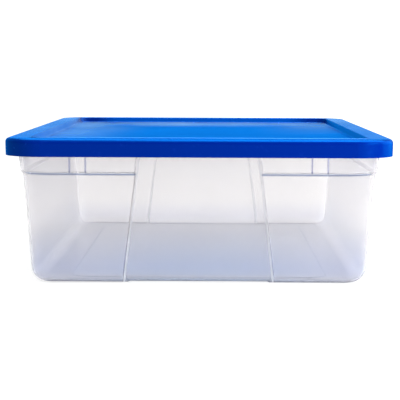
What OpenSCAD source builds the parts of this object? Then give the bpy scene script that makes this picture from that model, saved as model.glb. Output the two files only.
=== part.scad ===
// Low storage box for the space under a bed: a see-through tub with a press-on lid.
// Millimetres, +Z up, +Y along the length; the origin is on the floor at the middle of the foot.

/* [Overall size] */
// Width of the closed box over the lid, left to right
box_w = 414.5; // [390:0.5:440]
// Length of the closed box over the lid
box_l = 584; // [540:1:640]
// Height from the floor to the top of the lid
box_h = 156; // [140:1:200]
// Plan radius of the lid corners
lid_corner_r = 42; // [38:0.5:46]

/* [Tub walls] */
// Thickness of the tub walls
wall_t = 1.9; // [1.6:0.1:2.4]
// Thickness of the tub floor
floor_t = 2; // [1.6:0.1:3]
// Distance from the lid face in to the wall, measured at the floor
foot_inset = 26.8; // [24:0.1:30]
// Outward lean of the walls in mm per 100 mm of height
wall_lean = 8.3; // [6:0.1:9]
// Plan radius of the tub corners, measured at the floor
foot_corner_r = 24; // [20:1:28]
// Radius of the rounded foot between wall and floor
foot_r = 16; // [12:1:18]

/* [Shoulder band] */
// Distance from the top of the lid down to the lower edge of the shoulder band
band_drop = 39; // [30:1:44]
// How far the shoulder band stands out from the wall
band_proud = 2.7; // [1.5:0.1:3]
// Height of the sloped lower edge of the band
band_slope_h = 3; // [1:0.1:4]

/* [End panels] */
// Width of the sunk centre panel at the floor
panel_foot_w = 162; // [130:1:180]
// Narrowing of the panel on each side in mm per 100 mm of height
panel_narrowing = 12.5; // [5:0.5:16]
// Depth of the sunk centre panel
panel_depth = 5; // [3:0.5:6]
// Run of the panel's sloped side edges over its depth
panel_edge_run = 1.8; // [0.5:0.1:2.5]

/* [Floor field] */
// Distance from the wall at the floor in to the raised field, at the long sides
field_side_inset = 40; // [34:1:60]
// Distance from the wall at the floor in to the raised field, at the ends
field_end_inset = 26; // [24:1:50]
// Plan radius of the field corners
field_corner_r = 22; // [12:1:40]
// Height of the raised field above the floor
field_h = 0.8; // [0.4:0.1:3]

/* [Rim] */
// Thickness of the flat rim
rim_t = 1.8; // [1.5:0.1:2.2]
// Distance from the lid face in to the outer edge of the rim lip
rim_inset = 3.6; // [3.5:0.1:4]
// Height of the turned-down rim lip
lip_h = 10.5; // [8:0.5:12]
// Thickness of the rim lip
lip_t = 1.7; // [1.4:0.1:2]
// Thickness of the gusset ribs under the rim
gusset_t = 1.8; // [1.2:0.1:2.5]
// How far the gusset ribs stand out from the band
gusset_proud = 2.6; // [1.5:0.1:3.2]
// Distance from the band face round the corner to the first gusset of a pair
gusset_first = 60; // [50:0.2:70]
// Spacing of the two gussets of a pair
gusset_pitch = 16.8; // [10:0.2:24]

/* [Lid] */
// Thickness of the lid
lid_t = 2; // [1.8:0.1:2.2]
// Height of the lid skirt, from its lower edge to the top of the lid
skirt_h = 18.6; // [17:0.2:21]
// Inward toe of the skirt over its height
skirt_toe = 0.3; // [0:0.05:0.4]
// Radius of the outer edge of the lid
edge_r = 4.8; // [3:0.1:5.5]
// Width of the raised border from the lid face to the stacking recess
border_w = 27.5; // [26:0.25:30]
// Depth of the stacking recess in the lid
recess_depth = 6.2; // [5:0.1:8]
// Run of the sloped wall of the recess
recess_run = 2.3; // [1.5:0.1:3]
// Radius of the inner edge of the border, along the recess
recess_edge_r = 1.5; // [1:0.1:2]
// Height of the rounded crest along the inner edge of the border
crest_h = 0.7; // [0.3:0.1:0.9]
// Radius between the wall and the floor of the recess
recess_foot_r = 2; // [1:0.1:3]
// Inward reach of the retaining bead inside the skirt
bead_reach = 0.9; // [0.3:0.05:1]
// Depth of the locating ribs under the lid
locate_h = 5; // [3:0.5:7]

/* [Hidden] */
$fn = 72;
lean = wall_lean / 100;
lean_f = sqrt(1 + lean * lean);
rim_z = box_h - lid_t;
band_z = box_h - band_drop;

// Corner centres of the lid and rim, and of the tub walls
lid_cx = box_w / 2 - lid_corner_r;
lid_cy = box_l / 2 - lid_corner_r;
tub_cx = box_w / 2 - foot_inset - foot_corner_r;
tub_cy = box_l / 2 - foot_inset - foot_corner_r;

// Radii of the tub outline about its own corner centres
foot_out = foot_corner_r;
band_r = foot_out + lean * rim_z + band_proud;
band_x = tub_cx + band_r;
band_y = tub_cy + band_r;

// Radii of the rim about the lid corner centres
rim_r = lid_corner_r - rim_inset;
rim_round = 3.5;
rim_neck_r = rim_r - 1.2;
lip_bottom_z = rim_z - lip_h;

// Radii of the lid about its corner centres
skirt_in_r = lid_corner_r - lid_t - 0.1;
recess_r = lid_corner_r - border_w;
recess_z = box_h - recess_depth;
recess_slope = recess_run / recess_depth;
recess_slope_f = sqrt(1 + recess_slope * recess_slope);
crest_z = box_h + crest_h - recess_edge_r;
crest_c = recess_r + recess_slope * (crest_h - recess_edge_r) + recess_edge_r * recess_slope_f;

// Outline of the wall in distance from the corner centre and height, filled to the centre
function wall_r(z, inset) = foot_out + lean * z - inset * lean_f;

module wall_profile(inset, low, top, proud) {
  fr = foot_r - inset;
  arc_c = foot_out + lean * foot_r - foot_r * lean_f;
  arc_z = foot_r;
  tan_z = arc_z - fr * lean / lean_f;
  shoulder = band_z + inset * 0.4;
  straight = [
    [wall_r(top, inset), top]
  ];
  stepped = [
    [wall_r(shoulder, inset), shoulder],
    [wall_r(shoulder + band_slope_h, inset) + band_proud, shoulder + band_slope_h],
    [wall_r(top, inset) + band_proud, top]
  ];
  union() {
    polygon(concat(
      [[0, low], [arc_c, low], [arc_c + fr / lean_f, tan_z]],
      proud ? stepped : straight,
      [[0, top]]
    ));
    intersection() {
      translate([arc_c, arc_z])
        circle(r = fr);
      translate([0, low])
        square([arc_c + 2 * fr, fr]);
    }
  }
}

// Sweep of a profile round a rounded rectangle with corner centres at cx, cy
module swept_ring(cx, cy) {
  for (sx = [0, 1]) {
    for (sy = [0, 1]) {
      mirror([sx, 0, 0])
        mirror([0, sy, 0])
          translate([cx, cy, 0])
            rotate_extrude(angle = 90)
              children();
    }
  }
  for (s = [0, 1]) {
    mirror([s, 0, 0])
      translate([cx, 0, 0])
        rotate([90, 0, 0])
          linear_extrude(height = 2 * cy, center = true)
            children();
    mirror([0, s, 0])
      translate([0, cy, 0])
        rotate([90, 0, 90])
          linear_extrude(height = 2 * cx, center = true)
            children();
  }
}

// The same sweep with its middle filled from low to top
module swept_solid(cx, cy, low, top) {
  union() {
    swept_ring(cx, cy)
      children();
    translate([-cx, -cy, low])
      cube([2 * cx, 2 * cy, top - low]);
  }
}

// All that lies on the middle's side of a panel's sloped edge, at the +Y end
module panel_side(grow) {
  run = panel_edge_run / panel_depth;
  slope = panel_narrowing / 100 + run * lean;
  tilt = atan(slope);
  turn = atan(run * cos(tilt));
  stretch = sqrt(1 + run * run + slope * slope);
  translate([panel_foot_w / 2 + grow * stretch, tub_cy + foot_out, 0])
    rotate([0, -tilt, 0])
      rotate([0, 0, -turn])
        translate([-300, -200, -300])
          cube([300, 400, 600]);
}

// Upright slab of an end panel, wide at the floor and narrower at the rim
module panel_slab(grow, low, top) {
  intersection() {
    panel_side(grow);
    mirror([1, 0, 0])
      panel_side(grow);
    translate([-panel_foot_w, tub_cy - 40, low])
      cube([2 * panel_foot_w, 120, top - low]);
  }
}

// Everything outside the wall outline after it has moved in by the panel depth, at the +Y end
module beyond_wall(inset, low, wall_low, top) {
  translate([0, tub_cy, 0])
    rotate([90, 0, 90])
      linear_extrude(height = panel_foot_w + 40, center = true)
        difference() {
          translate([0, low])
            square([60, top - low]);
          translate([-panel_depth, 0])
            wall_profile(inset, wall_low, top + 1, false);
          translate([-panel_depth - 10, wall_low])
            square([12 + panel_depth, top + 1 - wall_low]);
        }
}

// Sunk panel removed from the outside of both ends
module panel_cuts() {
  for (s = [0, 1]) {
    mirror([0, s, 0])
      intersection() {
        panel_slab(0, -1, rim_z - rim_t);
        beyond_wall(0, -1, 0, rim_z - rim_t);
      }
  }
}

// The same panels standing into the hollow of the tub
module panel_bosses() {
  for (s = [0, 1]) {
    mirror([0, s, 0])
      intersection() {
        panel_slab(wall_t, floor_t - 1, rim_z + 2);
        beyond_wall(wall_t, floor_t - 1, floor_t, rim_z + 2);
      }
  }
}

// Low field with sloped edges in the middle of the floor
module floor_field(low, top, grow) {
  fx = box_w / 2 - foot_inset - field_side_inset;
  fy = box_l / 2 - foot_inset - field_end_inset;
  r_low = field_corner_r + grow;
  r_top = field_corner_r + grow - (top - low);
  swept_solid(fx - field_corner_r, fy - field_corner_r, low, top)
    polygon([
      [0, low],
      [r_low, low],
      [r_top, top],
      [0, top]
    ]);
}

// Hollow of the tub, with the panels and the raised field left standing
module tub_hollow() {
  difference() {
    swept_solid(tub_cx, tub_cy, floor_t, rim_z + 1)
      wall_profile(wall_t, floor_t, rim_z + 1, true);
    panel_bosses();
    floor_field(floor_t - 1, floor_t + field_h, 1);
  }
}

// Flat rim with a rounded outer edge and a turned-down lip that flares at its foot
module rim() {
  swept_solid(lid_cx, lid_cy, rim_z - rim_t, rim_z)
    union() {
      translate([0, rim_z - rim_t])
        square([rim_neck_r - rim_round, rim_t]);
      difference() {
        translate([rim_neck_r - rim_round, rim_z - rim_round])
          intersection() {
            circle(r = rim_round);
            square(rim_round);
          }
        translate([rim_neck_r - rim_round, rim_z - rim_round])
          circle(r = rim_round - rim_t);
      }
      polygon([
        [rim_neck_r, rim_z - rim_round],
        [rim_r, lip_bottom_z + 3],
        [rim_r, lip_bottom_z + 0.8],
        [rim_r - 0.6, lip_bottom_z],
        [rim_r - lip_t, lip_bottom_z],
        [rim_neck_r - rim_t, rim_z - rim_round]
      ]);
    }
}

// Upright gusset between the band and the rim, standing out along +X; the band meets the rim at x = 0
module gusset(reach) {
  foot = band_z + band_slope_h - 0.8;
  toe = foot + gusset_proud;
  translate([0, gusset_t / 2, 0])
    rotate([90, 0, 0])
      linear_extrude(height = gusset_t)
        polygon([
          [lean * (foot - rim_z) - 1, foot],
          [lean * (foot - rim_z), foot],
          [lean * (toe - rim_z) + gusset_proud, toe],
          [lean * (lip_bottom_z - rim_z) + gusset_proud, lip_bottom_z],
          [reach, rim_z - rim_round - 2],
          [reach, rim_z - rim_t + 0.2],
          [-1, rim_z - rim_t + 0.2]
        ]);
}

module gussets() {
  reach_x = lid_cx + rim_neck_r - rim_t - band_x + 0.3;
  reach_y = lid_cy + rim_neck_r - rim_t - band_y + 0.3;
  for (k = [0, 1]) {
    for (sx = [0, 1]) {
      for (sy = [0, 1]) {
        mirror([sx, 0, 0])
          mirror([0, sy, 0]) {
            translate([band_x, band_y - gusset_first - k * gusset_pitch, 0])
              gusset(reach_x);
            translate([band_x - gusset_first - k * gusset_pitch, band_y, 0])
              rotate([0, 0, 90])
                gusset(reach_y);
          }
      }
    }
  }
}

// Clear tub with sunk end panels, shoulder band and turned-down rim
module tub() {
  color([0.86, 0.89, 0.93])
    difference() {
      union() {
        difference() {
          swept_solid(tub_cx, tub_cy, 0, rim_z - rim_t / 2)
            wall_profile(0, 0, rim_z - rim_t / 2, true);
          panel_cuts();
          floor_field(-1, field_h, 1);
        }
        rim();
        gussets();
      }
      tub_hollow();
    }
}

// Section of the lid outside: skirt, rounded edge and raised border
module lid_outer_profile() {
  low = box_h - skirt_h;
  arc_z = box_h - edge_r;
  union() {
    polygon([
      [0, low],
      [lid_corner_r - skirt_toe, low],
      [lid_corner_r, arc_z],
      [lid_corner_r - edge_r, box_h],
      [0, box_h]
    ]);
    translate([lid_corner_r - edge_r, arc_z])
      intersection() {
        circle(r = edge_r);
        square(edge_r);
      }
  }
}

// Section of the hollow under the lid, between the skirt and the recess wall
module lid_channel_profile() {
  low = box_h - skirt_h;
  ceiling = rim_z;
  edge_low = box_h - edge_r;
  recess_back_r = recess_r + lid_t;
  polygon([
    [recess_back_r - recess_run, low - 1],
    [skirt_in_r - skirt_toe - bead_reach + 0.1, low - 1],
    [skirt_in_r - skirt_toe - bead_reach + 0.1, low + 1],
    [skirt_in_r - bead_reach, low + 1.6],
    [skirt_in_r - bead_reach, low + 2.6],
    [skirt_in_r, low + 3.8],
    [skirt_in_r, edge_low],
    [skirt_in_r - (ceiling - edge_low), ceiling],
    [recess_back_r + 0.3, ceiling],
    [recess_back_r - recess_run, box_h - recess_depth - 0.3]
  ]);
}

// Stacking recess in the top of the lid, with a rounded edge above and a rounded foot below
module lid_recess_profile() {
  slope = recess_slope;
  slope_f = recess_slope_f;
  foot_c = recess_r - recess_run + slope * recess_foot_r - recess_foot_r * slope_f;
  foot_z = recess_z + recess_foot_r;
  difference() {
    union() {
      polygon([
        [0, recess_z],
        [foot_c, recess_z],
        [foot_c + recess_foot_r / slope_f, foot_z - recess_foot_r * slope / slope_f],
        [crest_c - recess_edge_r / slope_f, crest_z + recess_edge_r * slope / slope_f],
        [crest_c, crest_z + recess_edge_r],
        [crest_c, box_h + 2],
        [0, box_h + 2]
      ]);
      intersection() {
        translate([foot_c, foot_z])
          circle(r = recess_foot_r);
        translate([0, recess_z])
          square([foot_c + 2 * recess_foot_r, recess_foot_r]);
      }
    }
    translate([crest_c, crest_z])
      circle(r = recess_edge_r);
  }
}

// Straight ribs that drop just inside the tub walls
module locating_ribs() {
  rib = 1.6;
  clear = 1.2;
  inner_x = band_x - wall_t - clear - rib;
  inner_y = band_y - wall_t - clear - rib;
  for (s = [0, 1]) {
    mirror([s, 0, 0])
      translate([inner_x, -tub_cy + 10, rim_z - locate_h])
        cube([rib, 2 * tub_cy - 20, locate_h + 0.2]);
    mirror([0, s, 0]) {
      translate([panel_foot_w / 2, inner_y, rim_z - locate_h])
        cube([tub_cx - panel_foot_w / 2 - 10, rib, locate_h + 0.2]);
      translate([-tub_cx + 10, inner_y, rim_z - locate_h])
        cube([tub_cx - panel_foot_w / 2 - 10, rib, locate_h + 0.2]);
    }
  }
}

// Press-on lid with a raised border round a stacking recess
module lid() {
  low = box_h - skirt_h;
  plate_z = box_h - recess_depth - lid_t;
  color([0.02, 0.2, 0.72])
    union() {
      difference() {
        union() {
          swept_solid(lid_cx, lid_cy, low, box_h)
            lid_outer_profile();
          swept_ring(lid_cx, lid_cy)
            translate([crest_c, crest_z])
              circle(r = recess_edge_r);
        }
        swept_solid(lid_cx, lid_cy, box_h - recess_depth, box_h + 2)
          lid_recess_profile();
        swept_ring(lid_cx, lid_cy)
          lid_channel_profile();
        swept_solid(lid_cx, lid_cy, low - 1, plate_z)
          translate([0, low - 1])
            square([recess_r + lid_t, plate_z - low + 1]);
      }
      locating_ribs();
    }
}

tub();
lid();
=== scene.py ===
"""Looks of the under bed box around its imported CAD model: milky clear tub, blue lid, studio.

Lengths are in metres in the CAD's frame: X across, Y from the near end to the far one, Z up.
A mask's pair of numbers is the span over which it rises or falls.
"""
import math

import bpy
from mathutils import Matrix, Vector


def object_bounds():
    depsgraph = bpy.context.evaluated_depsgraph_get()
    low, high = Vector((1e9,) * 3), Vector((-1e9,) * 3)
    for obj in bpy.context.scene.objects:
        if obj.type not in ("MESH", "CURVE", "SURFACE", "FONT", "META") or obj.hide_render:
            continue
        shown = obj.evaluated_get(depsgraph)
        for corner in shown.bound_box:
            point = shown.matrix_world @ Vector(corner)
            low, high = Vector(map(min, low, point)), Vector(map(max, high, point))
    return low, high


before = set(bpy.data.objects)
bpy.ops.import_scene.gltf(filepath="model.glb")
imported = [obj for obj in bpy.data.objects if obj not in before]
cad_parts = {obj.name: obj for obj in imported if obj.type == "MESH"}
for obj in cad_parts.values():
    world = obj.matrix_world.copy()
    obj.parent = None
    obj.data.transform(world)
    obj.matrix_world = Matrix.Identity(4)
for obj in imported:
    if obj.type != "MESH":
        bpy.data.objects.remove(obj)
cad_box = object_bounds()

WHITE = (1, 1, 1, 1)
PLASTIC_IOR = 1.49
NOISE_SPAN = (0.3, 0.7)  # where most values of a noise lie

# Lid: body, grain and scuffs. A noise is given by its scale, detail and stretch.
LID_DARK = (0.0, 0.0025, 0.10, 1)
LID_LIGHT = (0.0, 0.004, 0.125, 1)
LID_CLOUD = (6.0, 3.0)
LID_GRAIN = (900.0, 2.0)
LID_BUMP = (0.05, 0.0004)  # strength and distance
SCUFFS = (220.0, 4.0, (1.0, 0.04, 1.0))
SCUFF_SPAN = (0.6, 0.75)
SCUFF_COLOUR = (0.02, 0.06, 0.4, 1)
SCUFF_SHARE = 0.05
SCUFF_ROUGH = 0.04

# Lid: gloss, with a painted highlight on the crest round the recess, along its near and far ends:
# a brighter gloss colour there.
LID_GLOSS = (0.003, 0.165, 0.56, 1)
LID_ROUGH = (0.19, 0.25)
GLOSS_SHARE = 0.05
CREST_HIGHLIGHT_GLOSS = (0.12, 0.5, 1.0, 1)
CREST_SHARE = 0.8
CREST_FOOT = (0.15615, 0.1564)
CREST_ENDS = (0.252, 0.258)

# Lid: painted light on the recess's walls, a lighter blue on their steep faces.
LID_WALL_LIGHT = (0.0, 0.035, 0.24, 1)
WALL_STEEP = (0.5, 0.8)
SIDE_WALLS = ((0.1825, 0.1835), (0.21, 0.24))  # their outside across X, their stop along Y
END_WALLS = ((0.2675, 0.2685), (0.125, 0.155))  # their outside along Y, their stop across X

# Lid: the veil of dust and painted sheen on what faces up, a pale painted reflection that grows at
# a glancing angle and on faces turned right, towards the light. It is thickest at the sides and
# the far end, comes in streaks, and thins towards the near end, on the recess's floor more than on
# the border.
DUST_AND_SHEEN = (0.42, 0.62, 0.62, 1)
VEIL = 0.15
VEIL_SIDES = (0.06, 0.19)
VEIL_FAR_END = (0.10, 0.21)
VEIL_STREAKS = (14.0, 4.0, (1.0, 0.35, 1.0))
STREAK_SHARE = (0.4, 1.0)
VEIL_UPWARD = (0.45, 0.7)
# Painted light from the right: faces turned right take more of the veil.
SHEEN_LEAN = 0.4  # how much facing right counts as facing up
# Painted sheen: the veil grows at a glancing angle.
SHEEN_GLANCE = (0.4, 0.9)
GLANCE_SHARE = (0.2, 1.0)
NEAR_BORDER = (-0.272, -0.25)
NEAR_BORDER_SHARE = (0.15, 1.0)
BORDER_RUN = (-0.28, 0.25)
BORDER_SHARE = (0.4, 1.25)
RECESS_RUN = (-0.165, 0.15)
RECESS_SHARE = (0.0, 1.25)
RECESS_SLANT = 0.7  # how far back the thinning reaches for each metre to the right
RECESS_TOP = (0.1505, 0.1515)

# Tub: the milky share, the smooth clear plastic and its slight waves. Much more haze than this
# leaves contour lines in a denoised picture.
HAZE = (0.184, 0.216)
GLANCE_HAZE = 0.8
GLANCE_POWER = 5.0
MILK_FRONT = 0.33  # diffuse share of the milk; the rest is translucent
TUB_CLOUD = (9.0, 4.0)
TUB_ROUGH = (0.021, 0.039)
RIPPLE = (26.0, 1.0)
RIPPLE_BUMP = (0.12, 0.0004)

# Tub: tints of the wall, the shoulder band above it and the far end. A pair of colours is the
# clear plastic's and the milk's.
WALL_TINTS = (0.99, 0.984, 0.988, 1), (0.985, 0.975, 0.98, 1)
BAND_TINTS = (0.995, 0.99, 0.995, 1), (1.0, 0.99, 0.995, 1)
BAND_START = (0.112, 0.12)
FAR_TINT = (0.95, 0.94, 0.93, 1)
FAR_END = (0.25, 0.262)

# Tub: painted shade low down, tinted blue as light from the lid would tint it. It is greyer and
# lower at the far end, paler on the long sides.
LOW_SHADE_TINTS = (0.93, 0.945, 0.995, 1), (0.74, 0.79, 0.98, 1)
LOW_TOP = (0.018, 0.060)
LOW_FOOT = (0.003, 0.014)
LOW_FOOT_SHARE = (0.3, 1.0)  # weaker on the floor itself
LOW_FAR_SHADE_TINT = (0.875, 0.87, 0.88, 1)
LOW_FAR_RUN = (0.2, 0.25)
LOW_FAR_SQUEEZE = (1.0, 1.7)
SIDE_SHADE_TINTS = (0.965, 0.965, 0.985, 1), (0.84, 0.86, 0.915, 1)
LONG_SIDE = (0.172, 0.180)

# Tub: painted shade, bluish on the floor's middle and grey on the strip at each of its ends, and a
# painted dark line on the outline of its raised field.
FLOOR_SHADE_TINTS = (0.90, 0.945, 1.0, 1), (0.76, 0.85, 1.0, 1)
FLOOR_TOP = (0.004, 0.006)
FLOOR_MIDDLE = (0.04, 0.17)
FLOOR_RUN = (-0.15, 0.2)
STRIP_SHADE_TINT = (0.90, 0.915, 0.94, 1)
STRIP_START = (0.228, 0.232)
STRIP_STOP = (0.247, 0.251)
STRIP_SIDES = (0.15, 0.165)
FIELD_LINE_SHADE_TINT = (0.72, 0.76, 0.86, 1)
FIELD_HALF = (0.14045, 0.2392)  # across X and along Y
FIELD_RADIUS = 0.022
FIELD_INSET = 0.0002
FIELD_LINE = (0.0010, 0.0020)
FIELD_TOP = (0.004, 0.005)
FIELD_SHARE = (0.1, 1.0)

# Tub: painted shade at the foot of both ends, a dark line in the crease and a soft shade above it.
CREASE_SHADE_TINT = (0.2, 0.2, 0.28, 1)
CREASE_LINE = (0.0008, 0.0016)
CREASE_SHADE = (0.001, 0.006)
CREASE_SHADE_SHARE = (0.12, 0.0)
FOOT_EDGE = (0.2505, 0.2515)

# Tub: the sunk end panel and its side edges, which lean inwards going up, drawn as a painted
# highlight line, milky low down.
PANEL_HALF = 0.0801
PANEL_LEAN = 0.125
PANEL_SIDE = (0.0791, 0.0801)
PANEL_DEPTH = 0.005
EDGE_HIGHLIGHT_TINT = (0.95, 0.972, 1.0, 1)
EDGE_LINE = (0.0008, 0.0014)
EDGE_END = (0.25, 0.252)
EDGE_FADE = (0.045, 0.085)
EDGE_HIGHLIGHT_MILK = 0.75

# Tub: a painted shade line under the band on both ends, and the band's edge on the long sides,
# made milky as a painted shade line.
BAND_LINE_SHADE_TINT = (0.52, 0.58, 0.72, 1)
BAND_LINE_START = (0.1177, 0.1180)
BAND_LINE_STOP = (0.1192, 0.1195)
BAND_LINE_SIDES = (0.0655, 0.067)
END_FACE = (0.262, 0.266)
BAND_EDGE_START = (0.1160, 0.1165)
BAND_EDGE_STOP = (0.1205, 0.121)
BAND_EDGE_SIDE = (0.18, 0.182)
BAND_EDGE_SHADE_MILK = 0.95

# Tub: painted shade, tinted blue, on the rim and lip, which the lid hides at rest, and on the
# pairs of ribs under them.
RIM_SHADE_TINTS = (0.82, 0.85, 0.93, 1), (0.62, 0.68, 0.82, 1)
RIM_FOOT = (0.1425, 0.1435)
RIB_SHADE_TINT = (0.76, 0.77, 0.87, 1)
RIB_HALF = (0.0008, 0.0011)
RIB_FOOT = (0.1195, 0.1215)
END_RIBS = (0.13593, 0.11913)  # from the middle, across X
END_RIB_OUT = (0.262, 0.264)
SIDE_RIBS = (0.22068, 0.20388)  # from the middle, along Y
SIDE_RIB_OUT = (0.178, 0.180)

# Studio: the table just under the box, its glow from left to right, and the white room.
TABLE_HALF = 30.0
TABLE_DROP = 0.0004
TABLE_PAINT = (0.32, 0.32, 0.32, 1)
TABLE_RUN = (-0.25, 0.25)
TABLE_GLOW = (0.73, 0.94)
ROOM_TOWARD = (0.55, 0.5, 0.5)
ROOM_SPAN = (-0.8, 0.6)
ROOM_GLOW = (0.6, 1.48)

# Soft boxes: name, place, aim, size, power in watts, the one piece that each lights (None for
# all of them), and the rays that don't see it.
SOFT_BOXES = (
    ("key_softbox", (0.2, -0.1, 1.9), (0, 0, 0.1), (1.6, 0.7), 22, None, ()),
    ("side_softbox", (1.3, -1.0, 0.8), (0, -0.2, 0.12), (0.8, 0.8), 8, None, ()),
    ("edge_softbox", (0.3, 0.55, 1.7), (0, 0, 0.15), (2.8, 1.6), 125, "lid",
     ("camera", "transmission", "diffuse")),
    ("right_softbox", (0.75, -0.9, 0.3), (0, -0.2, 0.14), (0.7, 0.5), 23, "lid",
     ("camera", "transmission", "glossy")),
    ("right_panel", (1.5, 0.35, 0.5), (0, -0.1, 0.15), (1.5, 1.1), 22, "lid",
     ("camera", "transmission", "diffuse")),
    ("left_softbox", (-1.2, 0.1, 0.5), (-0.2, 0, 0.1), (1.0, 0.8), 6, "tub",
     ("camera", "glossy")),
    ("far_right_softbox", (1.2, 0.1, 0.5), (0.2, 0, 0.1), (1.0, 0.8), 6, "tub",
     ("camera", "glossy")),
)

CAMERA_PLACE = (0.0132, -1.622, 0.2324)
CAMERA_PITCH, CAMERA_YAW, CAMERA_ROLL = 0.1042, 0.0087, 0.0038  # radians
CAMERA_LENS, CAMERA_SENSOR = 115.47, 36.0  # millimetres
CAMERA_CLIP = 200


class Nodes:
    """Adds shader nodes to one tree; inputs may be sockets or constants."""

    def __init__(self, tree):
        self.tree = tree

    def put(self, value, socket):
        if isinstance(value, bpy.types.NodeSocket):
            self.tree.links.new(value, socket)
        else:
            socket.default_value = value

    def add(self, kind, *inputs, **values):
        """Add a node with its first inputs in order, and its other inputs or settings by name."""
        node = self.tree.nodes.new("ShaderNode" + kind)
        for key, value in values.items():
            if key in node.inputs:
                self.put(value, node.inputs[key])
            else:
                setattr(node, key, value)
        for index, value in enumerate(inputs):
            self.put(value, node.inputs[index])
        return node

    def shader(self, kind, *inputs, **values):
        return self.add(kind, *inputs, **values).outputs[0]

    def ramp(self, value, span, result, **options):
        """Map a value from a span to a pair of numbers, held at both ends."""
        node = self.add("MapRange", **options)
        for key, number in zip(("From Min", "From Max", "To Min", "To Max"), (*span, *result)):
            node.inputs[key].default_value = number
        self.put(value, node.inputs["Value"])
        return node.outputs["Result"]

    def rise(self, value, span, **options):
        return self.ramp(value, span, (0.0, 1.0), **options)

    def fall(self, value, span):
        return self.ramp(value, span, (1.0, 0.0))

    def maths(self, operation, *values):
        return self.add("Math", *values, operation=operation).outputs[0]

    def chain(self, operation, first, *others):
        """Join two or more values by one operation, from left to right."""
        for other in others:
            first = self.maths(operation, first, other)
        return first

    def product(self, *values):
        return self.chain("MULTIPLY", *values)

    def largest(self, *values):
        return self.chain("MAXIMUM", *values)

    def distance(self, value, other):
        return self.maths("ABSOLUTE", self.maths("SUBTRACT", value, other))

    def split(self, vector):
        """The X, Y and Z of a vector."""
        return tuple(self.add("SeparateXYZ", vector).outputs)

    def blend(self, factor, first, second):
        """Mix two colours by a socket."""
        node = self.add("Mix", data_type="RGBA")
        for key, value in (("Factor", factor), ("A", first), ("B", second)):
            self.put(value, node.inputs[key])
        return node.outputs["Result"]

    def noise(self, place, scale, detail, stretch=None):
        """Noise in object space, longer along one axis if stretch is given."""
        if stretch:
            place = self.add("Mapping", Vector=place, Scale=stretch).outputs["Vector"]
        return self.add("TexNoise", Vector=place, Scale=scale, Detail=detail).outputs["Fac"]

    def bump(self, height, strength, distance):
        return self.shader("Bump", Height=height, Strength=strength, Distance=distance)


def new_material(name):
    material = bpy.data.materials.new(name)
    material.use_nodes = True
    material.node_tree.nodes.clear()
    return material, Nodes(material.node_tree)


def object_space(make):
    """The object's coordinates, their X, Y and Z, and the distances from the middle in X and Y."""
    place = make.add("TexCoord").outputs["Object"]
    x, y, z = make.split(place)
    return place, x, y, z, make.maths("ABSOLUTE", x), make.maths("ABSOLUTE", y)


def dust_and_sheen_veil(make, space, normal):
    """How much dust and painted sheen lie on the lid, from 0 to a little over VEIL."""
    place, x, y, z, off, _ = space
    spread = make.largest(make.rise(off, VEIL_SIDES, interpolation_type="SMOOTHSTEP"),
                          make.rise(y, VEIL_FAR_END, interpolation_type="SMOOTHSTEP"))
    streaks = make.ramp(make.noise(place, *VEIL_STREAKS), NOISE_SPAN, STREAK_SHARE)
    upward = make.maths("ADD", normal[2], make.product(normal[0], SHEEN_LEAN))
    glance = make.add("LayerWeight", Blend=0.5).outputs["Facing"]
    on_border = make.ramp(y, BORDER_RUN, BORDER_SHARE)
    slant = make.maths("SUBTRACT", y, make.product(x, RECESS_SLANT))
    in_recess = make.ramp(slant, RECESS_RUN, RECESS_SHARE)
    change = make.product(make.fall(z, RECESS_TOP), make.maths("SUBTRACT", in_recess, on_border))
    return make.product(
        spread,
        streaks,
        make.ramp(upward, VEIL_UPWARD, (0.0, VEIL)),
        make.ramp(glance, SHEEN_GLANCE, GLANCE_SHARE),
        make.ramp(y, NEAR_BORDER, NEAR_BORDER_SHARE),
        make.maths("ADD", on_border, change),
    )


def lid_material():
    """Opaque blue polypropylene: deep blue body, azure gloss that grows at a glancing angle."""
    material, make = new_material("blue_polypropylene")
    space = object_space(make)
    place, _, _, z, off, end = space
    normal = make.split(make.add("NewGeometry").outputs["Normal"])
    cloud = make.noise(place, *LID_CLOUD)
    scuff = make.rise(make.noise(place, *SCUFFS), SCUFF_SPAN)
    bump = make.bump(make.noise(place, *LID_GRAIN), *LID_BUMP)

    colour = make.blend(cloud, LID_DARK, LID_LIGHT)
    colour = make.blend(make.product(scuff, SCUFF_SHARE), colour, SCUFF_COLOUR)
    # Painted light: the recess's steep walls take a lighter blue.
    walls = []
    for tilt, out, along, (outside, stop) in (
        (normal[0], off, end, SIDE_WALLS),
        (normal[1], end, off, END_WALLS),
    ):
        steep = make.rise(make.maths("ABSOLUTE", tilt), WALL_STEEP)
        walls.append(make.product(steep, make.fall(out, outside), make.fall(along, stop)))
    colour = make.blend(make.largest(*walls), colour, LID_WALL_LIGHT)

    # Painted highlight: a brighter gloss colour along the crest.
    crest = make.product(make.rise(z, CREST_FOOT), make.ramp(end, CREST_ENDS, (0.0, CREST_SHARE)))
    rough = make.maths("ADD", make.ramp(cloud, NOISE_SPAN, LID_ROUGH),
                       make.product(scuff, SCUFF_ROUGH))
    body = make.shader("BsdfDiffuse", Color=colour, Normal=bump)
    gloss = make.shader("BsdfGlossy", Color=make.blend(crest, LID_GLOSS, CREST_HIGHLIGHT_GLOSS),
                        Roughness=rough, Normal=bump)
    dust_sheen = make.shader("BsdfDiffuse", Color=DUST_AND_SHEEN)
    fresnel = make.add("Fresnel", IOR=PLASTIC_IOR).outputs[0]
    shine = make.ramp(fresnel, (0.0, 1.0), (GLOSS_SHARE, 1.0))
    surface = make.shader("MixShader", shine, body, gloss)
    # Dust with a painted sheen, laid over the plastic.
    veiled = make.shader("MixShader", dust_and_sheen_veil(make, space, normal), surface, dust_sheen)
    make.add("OutputMaterial", Surface=veiled)
    return material


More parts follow.
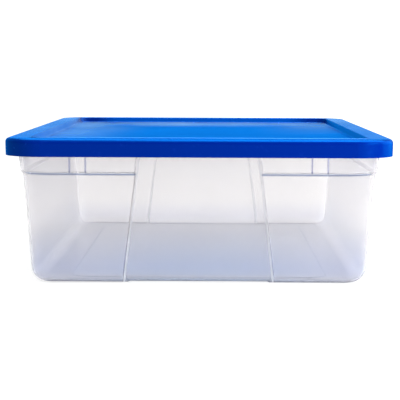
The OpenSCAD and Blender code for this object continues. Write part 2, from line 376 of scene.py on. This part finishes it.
def rib_shade_mask(make, off, end, z):
    """Painted shade: 1 on the upright ribs under the rim, where the plastic is three times as
    deep.
    """
    ribs = []
    for along, centres, out, outside in (
        (off, END_RIBS, end, END_RIB_OUT),
        (end, SIDE_RIBS, off, SIDE_RIB_OUT),
    ):
        for centre in centres:
            gap = make.distance(along, centre)
            ribs.append(make.product(make.fall(gap, RIB_HALF), make.rise(out, outside)))
    return make.product(make.largest(*ribs), make.rise(z, RIB_FOOT))


def field_outline_shade(make, y, z, off, end):
    """Painted shade: 1 on the sloped edge of the raised floor field, fading from the far end to
    the near one.
    """
    squares = []
    for value, half in zip((off, end), FIELD_HALF):
        past = make.largest(make.maths("SUBTRACT", value, half - FIELD_RADIUS), 0.0)
        squares.append(make.product(past, past))
    round_corner = make.maths("SQRT", make.maths("ADD", *squares))
    gap = make.distance(round_corner, FIELD_RADIUS - FIELD_INSET)
    return make.product(make.fall(gap, FIELD_LINE), make.fall(z, FIELD_TOP),
                        make.ramp(y, FLOOR_RUN, FIELD_SHARE))


def foot_crease_shade(make, z, off, end):
    """Painted shade: 1 at the dark foot of both ends, which follows the wall back where the panel
    is sunk.
    """
    sunk = make.ramp(off, PANEL_SIDE, (PANEL_DEPTH, 0.0))
    outer = make.rise(make.maths("ADD", end, sunk), FOOT_EDGE)
    shade = make.ramp(z, CREASE_SHADE, CREASE_SHADE_SHARE)
    return make.product(make.largest(make.fall(z, CREASE_LINE), shade), outer)


def tub_material():
    """Milky clear polypropylene: it bends and slightly blurs what is behind it, under a haze."""
    material, make = new_material("milky_polypropylene")
    place, _, y, z, off, end = object_space(make)
    cloud = make.noise(place, *TUB_CLOUD)

    # Where each tint lies, from 0 to 1.
    far = make.rise(y, FAR_END)
    side = make.rise(off, LONG_SIDE)
    squeezed = make.product(z, make.ramp(y, LOW_FAR_RUN, LOW_FAR_SQUEEZE))
    low = make.maths("MINIMUM", make.ramp(z, LOW_FOOT, LOW_FOOT_SHARE),
                     make.fall(squeezed, LOW_TOP))
    floor = make.fall(z, FLOOR_TOP)
    middle = make.product(floor, make.fall(off, FLOOR_MIDDLE), make.fall(y, FLOOR_RUN))
    strip = make.product(make.rise(end, STRIP_START), make.fall(end, STRIP_STOP), floor,
                         make.fall(off, STRIP_SIDES))
    band_shade_line = make.product(make.rise(z, BAND_LINE_START), make.fall(z, BAND_LINE_STOP),
                             make.rise(end, END_FACE), make.rise(off, BAND_LINE_SIDES))
    band_edge = make.product(make.rise(z, BAND_EDGE_START), make.fall(z, BAND_EDGE_STOP),
                             make.rise(off, BAND_EDGE_SIDE), make.fall(end, END_FACE))
    panel_side = make.maths("SUBTRACT", PANEL_HALF, make.product(z, PANEL_LEAN))
    panel_edge_highlight = make.product(make.fall(make.distance(off, panel_side), EDGE_LINE),
                              make.rise(end, EDGE_END))

    band = make.rise(z, BAND_START)
    clear_colour, milk_colour = (make.blend(band, *pair) for pair in zip(WALL_TINTS, BAND_TINTS))
    low_clear, low_milk = LOW_SHADE_TINTS
    side_clear, side_milk = SIDE_SHADE_TINTS
    # Painted shade low down, tinted blue, greyer at the far end and paler on the long sides.
    low_clear = make.blend(side, make.blend(far, low_clear, LOW_FAR_SHADE_TINT), side_clear)
    clear_colour = make.blend(low, make.blend(far, clear_colour, FAR_TINT), low_clear)
    milk_colour = make.blend(low, milk_colour, make.blend(side, low_milk, side_milk))
    for mask, clear_tint, milk_tint in (
        # Painted shade, bluish, on the floor's middle.
        (middle, *FLOOR_SHADE_TINTS),
        # Painted shade at the foot crease.
        (foot_crease_shade(make, z, off, end), CREASE_SHADE_TINT, CREASE_SHADE_TINT),
        # Painted shade on the floor's end strips.
        (strip, STRIP_SHADE_TINT, STRIP_SHADE_TINT),
        # Painted dark line on the raised field's outline.
        (field_outline_shade(make, y, z, off, end), FIELD_LINE_SHADE_TINT, FIELD_LINE_SHADE_TINT),
        # Painted shade line under the band.
        (band_shade_line, BAND_LINE_SHADE_TINT, BAND_LINE_SHADE_TINT),
        # Painted shade, tinted blue, on the rim and lip, and on the ribs.
        (make.rise(z, RIM_FOOT), *RIM_SHADE_TINTS),
        (rib_shade_mask(make, off, end, z), RIB_SHADE_TINT, RIB_SHADE_TINT),
    ):
        clear_colour = make.blend(mask, clear_colour, clear_tint)
        milk_colour = make.blend(mask, milk_colour, milk_tint)
    # Painted highlight line on the panel's side edges.
    milk_colour = make.blend(panel_edge_highlight, milk_colour, EDGE_HIGHLIGHT_TINT)

    clear = make.shader("BsdfGlass", IOR=PLASTIC_IOR, Color=clear_colour,
                        Roughness=make.ramp(cloud, NOISE_SPAN, TUB_ROUGH),
                        Normal=make.bump(make.noise(place, *RIPPLE), *RIPPLE_BUMP))
    milk = make.shader("MixShader", MILK_FRONT, make.shader("BsdfTranslucent", Color=milk_colour),
                       make.shader("BsdfDiffuse", Color=milk_colour))

    glance = make.add("LayerWeight", Blend=0.5).outputs["Facing"]
    grazing = make.product(make.maths("POWER", glance, GLANCE_POWER), GLANCE_HAZE)
    share = make.largest(
        make.maths("ADD", make.ramp(cloud, NOISE_SPAN, HAZE), grazing),
        # The panel's side edges, painted as a milky highlight line.
        make.product(panel_edge_highlight, make.ramp(z, EDGE_FADE, (EDGE_HIGHLIGHT_MILK, 0.0))),
        # The band's edge on the long sides, painted milky as a shade line.
        make.product(band_edge, BAND_EDGE_SHADE_MILK),
    )
    make.add("OutputMaterial", Surface=make.shader("MixShader", share, clear, milk))
    return material


def paint(node, material):
    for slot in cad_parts[node].material_slots:
        slot.material = material


def place_object(name, data):
    obj = bpy.data.objects.new(name, data)
    bpy.context.scene.collection.objects.link(obj)
    return obj


def make_floor():
    """A pale table that lights itself, a little more on the right."""
    low, half = cad_box[0][2] - TABLE_DROP, TABLE_HALF
    corners = [(-half, -half, low), (half, -half, low), (half, half, low), (-half, half, low)]
    mesh = bpy.data.meshes.new("studio_floor")
    mesh.from_pydata(corners, [], [(0, 1, 2, 3)])
    floor = place_object("studio_floor", mesh)
    material, make = new_material("studio_floor_paint")
    paper = make.shader("BsdfDiffuse", Color=TABLE_PAINT)
    across = make.split(make.add("TexCoord").outputs["Object"])[0]
    glow = make.shader("Emission", Strength=make.ramp(across, TABLE_RUN, TABLE_GLOW))
    make.add("OutputMaterial", Surface=make.shader("AddShader", paper, glow))
    mesh.materials.append(material)


def soft_box(name, place, at, size, power, node, hidden):
    """A rectangular light; with a node, it falls on that piece alone."""
    data = bpy.data.lights.new(name, "AREA")
    data.shape = "RECTANGLE"
    data.size, data.size_y = size
    data.energy = power
    light = place_object(name, data)
    light.location = place
    light.rotation_euler = (Vector(at) - light.location).to_track_quat("-Z", "Y").to_euler()
    if node:
        group = bpy.data.collections.new(name + "_target")
        group.objects.link(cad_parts[node])
        light.light_linking.receiver_collection = group
    for ray in hidden:
        setattr(light, "visible_" + ray, False)


def make_world():
    """White studio: brightest behind and to the right, a little darker in front on the left."""
    world = bpy.data.worlds.new("studio")
    bpy.context.scene.world = world
    world.use_nodes = True
    make = Nodes(world.node_tree)
    toward = make.add("VectorMath", operation="DOT_PRODUCT")
    make.put(make.add("TexCoord").outputs["Generated"], toward.inputs[0])
    make.put(Vector(ROOM_TOWARD).normalized(), toward.inputs[1])
    back = world.node_tree.nodes["Background"]
    make.put(WHITE, back.inputs["Color"])
    make.put(make.ramp(toward.outputs["Value"], ROOM_SPAN, ROOM_GLOW), back.inputs["Strength"])


def make_camera():
    data = bpy.data.cameras.new("camera")
    data.sensor_width = CAMERA_SENSOR
    data.lens = CAMERA_LENS
    data.clip_end = CAMERA_CLIP
    camera = place_object("camera", data)
    camera.matrix_world = (
        Matrix.Translation(CAMERA_PLACE)
        @ Matrix.Rotation(CAMERA_YAW, 4, "Z")
        @ Matrix.Rotation(math.pi / 2 - CAMERA_PITCH, 4, "X")
        @ Matrix.Rotation(CAMERA_ROLL, 4, "Z")
    )
    bpy.context.scene.camera = camera


paint("lid", lid_material())
paint("tub", tub_material())
make_floor()
for box in SOFT_BOXES:
    soft_box(*box)
make_world()
make_camera()

view = bpy.context.scene.view_settings
view.view_transform = "Standard"
view.look = "None"
